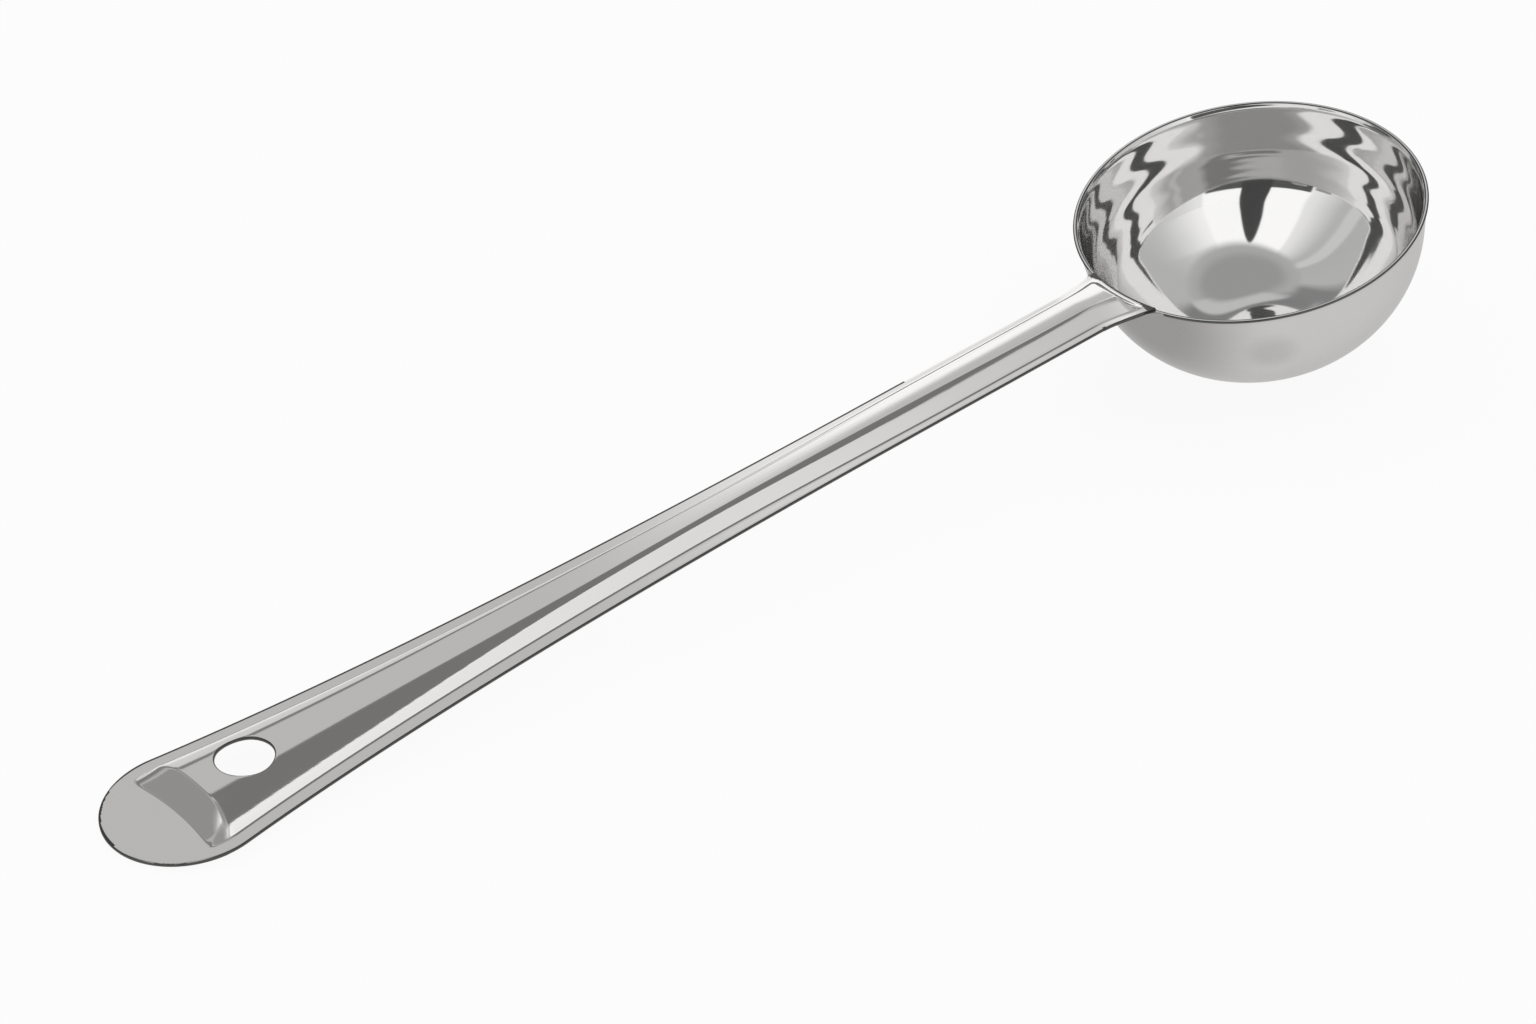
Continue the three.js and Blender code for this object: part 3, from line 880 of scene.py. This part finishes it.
def cutHangHole(bm, patch, squared):  # a round hole in the place of a square patch of faces
    bmesh.ops.delete(bm, geom=patch, context="FACES")
    border = [edge for edge in bm.edges
              if edge.is_boundary and all(vert in squared for vert in edge.verts)]
    middle = Vector((holeAt, 0.0, 0.0))
    for i in range(handle["holeRings"] + 1):
        inward = math.sin(math.pi / 2 * i / handle["holeRings"])
        radius = handle["holeRadius"] + handle["holeRound"] * (1 - inward)
        outer = {vert for edge in border for vert in edge.verts}
        made = bmesh.ops.extrude_edge_only(bm, edges=border)["geom"]
        inner = {item for item in made if isinstance(item, bmesh.types.BMVert)}
        for vert in inner:
            vert.co = middle + radius * (vert.co - middle).normalized()
        border = [item for item in made
                  if isinstance(item, bmesh.types.BMEdge) and set(item.verts) <= inner]
        if i == 0:  # fill in between the square and the first ring
            spokes = [edge for vert in inner for edge in vert.link_edges
                      if edge.other_vert(vert) in outer]
            bmesh.ops.subdivide_edges(bm, edges=spokes, cuts=handle["holeFill"],
                                      use_grid_fill=True)
    bm.normal_update()
    turned = [face for face in bm.faces if face.normal.z < 0]
    bmesh.ops.reverse_faces(bm, faces=turned)


def makeHandleSteel():
    material, tree = newMaterial("handleSteel")
    squashed = attribute(tree, "along") * handle["streakSquash"]
    line = Wire(Wire.make(tree, "ShaderNodeCombineXYZ", None, {
        0: squashed, 1: attribute(tree, "across")}))
    streak = noise(tree, line, *handle["streak"])
    cloud = noise(tree, objectPlace(tree), handle["cloudScale"])
    rough = handle["rough"] + (streak - 0.5) * handle["streakRough"]
    rough = rough + (cloud - 0.5) * handle["cloudRough"]
    showSteel(tree, handle["tone"], rough, bumpOf(tree, streak, *handle["streakBump"]))
    return material


def makeCutAndShadeSteel():  # sheared and tumbled edges, rougher than the faces and near black as a painted dark reflection; also the painted shade by the rim and the welds
    material, tree = newMaterial("cutAndShadeSteel")
    cloud = noise(tree, objectPlace(tree), handle["cutCloudScale"])
    rough = handle["cutRough"] + (cloud - 0.5) * handle["cutCloudRough"]
    showSteel(tree, handle["cutShadeTone"], rough, bumpOf(tree, cloud, *handle["cutBump"]))
    return material


def makeHandle(steel, cutAndShadeSteel):
    places = spread(handle["stretches"])
    places[-1] = tipCentre
    tipPlaces = tipShares()
    rows = len(places) - 1 + len(tipPlaces) - 1
    columns = len(columnPlaces(0.0)) - 1
    bm = bmesh.new()
    alongLayer = bm.verts.layers.float.new("along")
    acrossLayer = bm.verts.layers.float.new("across")
    bmesh.ops.create_grid(bm, x_segments=rows, y_segments=2 * columns, size=1.0)
    holeColumns = columnPlaces(holeAt)
    patchHalf = handle["holePatch"] * handle["holeRadius"]
    squared = set()
    for vert in bm.verts:
        row = round((vert.co.x + 1) / 2 * rows)
        column = round(vert.co.y * columns)
        along, across = planPoint(places, tipPlaces, row, column)
        vert.co = (along, across, 0.0)
        if abs(along - holeAt) < patchHalf and holeColumns[abs(column)] < patchHalf:
            squared.add(vert)
    patch = [face for face in bm.faces if all(vert in squared for vert in face.verts)]
    cutHangHole(bm, patch, squared)
    for vert in bm.verts:
        vert[alongLayer] = vert.co.x
        vert[acrossLayer] = vert.co.y
    made = bmesh.ops.extrude_face_region(bm, geom=bm.faces[:])["geom"]
    under = {item for item in made if isinstance(item, bmesh.types.BMVert)}
    paintedDark = set()
    for vert in bm.verts:
        along, across = vert[alongLayer], vert[acrossLayer]
        vert.co.z = faceHeights(along, across)[1 if vert in under else 0]
        if isPaintedDark(along, across, vert in under):
            paintedDark.add(vert)
    bmesh.ops.recalc_face_normals(bm, faces=bm.faces[:])
    # faces by the edges, the rim and the hole take the near-black steel, as painted reflection
    # and painted shade
    for face in bm.faces:
        face.material_index = 1 if all(vert in paintedDark for vert in face.verts) else 0
    for edge in bm.edges:
        edge.smooth = edge.calc_face_angle(0.0) < handle["sharpAngle"]
    bmesh.ops.transform(bm, matrix=lyingPlace() @ handlePlace(), verts=bm.verts[:])
    piece = finishPiece("handleBlade", bm, steel, "handle_steel", "handle")
    piece.data.materials.append(cutAndShadeSteel)


makeHandle(makeHandleSteel(), makeCutAndShadeSteel())
print("handle made")


# welds

weld = {
    "seamRadius": 1.2,
    "seamDrop": 1.1,  # of the bead's middle under the rim's plane
    "seamOut": 0.5,
    "seamSides": 20,
    "seamSteps": 60,
    "endPower": 6,  # how bluntly the bead ends
    "endThin": 0.02,
    "rippleSize": 0.05,
    "ripples": 160,  # to each radian round the rim
    "reach": 2.6,
    "bow": 0.45,
    "depth": 1.3,
    "sink": 0.5,  # below the flange's face
    "lap": 0.4,  # over the handle's edge
    "rimLap": 0.05,
    "bowSteps": 12,
    "rimSteps": 8,
    "edgeRound": 0.3,
    "edgeSteps": 3,
    "sharpAngle": 1.0,  # radians, over which an edge is rounded
    # the weld metal's grey, darkened further as a painted shadow for the corners between the rim
    # and the handle
    "tone": (0.34, 0.337, 0.334, 1.0),
    "rough": 0.25,
    "cloudScale": 350.0,
    "cloudRough": 0.2,
    "bump": (0.15, 0.3),  # strength and depth
}


def makeWeldSteel():
    material, tree = newMaterial("weldSteel")
    cloud = noise(tree, objectPlace(tree), weld["cloudScale"])
    rough = weld["rough"] + cloud * weld["cloudRough"]
    showSteel(tree, weld["tone"], rough, bumpOf(tree, cloud, *weld["bump"]))
    return material


def cornerOutline(edge):  # seen from above, in the corner between the handle and the rim
    corner = Vector((rimAlong(edge), edge, 0.0))
    farAlong = corner.x + weld["reach"]
    alongEdge = Vector((farAlong, halfWidth(farAlong), 0.0))
    wallReach = edge + weld["reach"]
    alongWall = Vector((rimAlong(wallReach), wallReach, 0.0))
    hollow = corner.lerp((alongEdge + alongWall) / 2, weld["bow"])
    outline = []
    for i in range(weld["bowSteps"] + 1):  # hollow outer edge
        t = i / weld["bowSteps"]
        outline.append(alongEdge * (1 - t) ** 2 + hollow * 2 * t * (1 - t) + alongWall * t ** 2)
    for i in range(1, weld["rimSteps"] + 1):  # back along the rim
        reach = wallReach + (edge - weld["lap"] - wallReach) * i / weld["rimSteps"]
        outline.append(Vector((rimAlong(reach) - weld["rimLap"], reach, 0.0)))
    return outline + [Vector((farAlong, alongEdge.y - weld["lap"], 0.0))]


def makeCornerWeld(name, node, side, steel):
    edge = halfWidth(0.0)
    bm = bmesh.new()
    verts = []
    for point in cornerOutline(edge):
        height = upperHeight(max(0.0, point.x), edge) - weld["sink"]
        verts.append(bm.verts.new((point.x, side * point.y, height)))
    face = bm.faces.new(verts)
    bm.normal_update()
    if face.normal.z < 0:
        bmesh.ops.reverse_faces(bm, faces=[face])
    made = bmesh.ops.extrude_face_region(bm, geom=[face])
    lower = [item for item in made["geom"] if isinstance(item, bmesh.types.BMVert)]
    bmesh.ops.translate(bm, verts=lower, vec=(0.0, 0.0, weld["sink"] - weld["depth"]))
    bmesh.ops.recalc_face_normals(bm, faces=bm.faces[:])
    sharp = [line for line in bm.edges
             if len(line.link_faces) == 2 and line.calc_face_angle() > weld["sharpAngle"]]
    bmesh.ops.bevel(bm, geom=sharp, offset=weld["edgeRound"], offset_type="OFFSET",
                    segments=weld["edgeSteps"], profile=0.5, affect="EDGES", material=-1,
                    clamp_overlap=True)
    bmesh.ops.transform(bm, matrix=lyingPlace() @ handlePlace(), verts=bm.verts[:])
    finishPiece(name, bm, steel, "weld_steel", node)


def makeSeamWeld(steel):
    low = -weld["seamDrop"]
    start = Vector((-wallRadius(low) - weld["seamOut"], 0.0, low))
    sweep = (halfWidth(0.0) - weld["seamRadius"]) / bowl["rimRadius"]
    upright = Matrix.Translation(start) @ Matrix.Rotation(math.pi / 2, 4, "X")
    bm = bmesh.new()
    bmesh.ops.create_circle(bm, segments=weld["seamSides"], radius=weld["seamRadius"],
                            cap_ends=True, matrix=Matrix.Rotation(-sweep, 4, "Z") @ upright)
    bmesh.ops.spin(bm, geom=bm.verts[:] + bm.edges[:] + bm.faces[:], cent=(0, 0, 0),
                   axis=(0, 0, 1), dvec=(0, 0, 0), angle=2 * sweep, steps=weld["seamSteps"],
                   use_merge=False)
    bmesh.ops.recalc_face_normals(bm, faces=bm.faces[:])
    for vert in bm.verts:  # ripples along the bead, and round ends
        angle = math.atan2(-vert.co.y, -vert.co.x)
        share = min(1.0, abs(angle) / sweep)
        middle = Vector((start.x * math.cos(angle), start.x * math.sin(angle), start.z))
        fat = math.sqrt(max(weld["endThin"], 1 - share ** weld["endPower"]))
        fat *= 1 + weld["rippleSize"] * math.sin(angle * weld["ripples"])
        vert.co = middle + (vert.co - middle) * fat
    bmesh.ops.transform(bm, matrix=lyingPlace(), verts=bm.verts[:])
    finishPiece("seamBead", bm, steel, "weld_steel", "weld_seam")


weldSteel = makeWeldSteel()
makeCornerWeld("cornerBeadLeft", "weld_left", -1, weldSteel)
makeCornerWeld("cornerBeadRight", "weld_right", 1, weldSteel)
makeSeamWeld(weldSteel)
print("welds made")
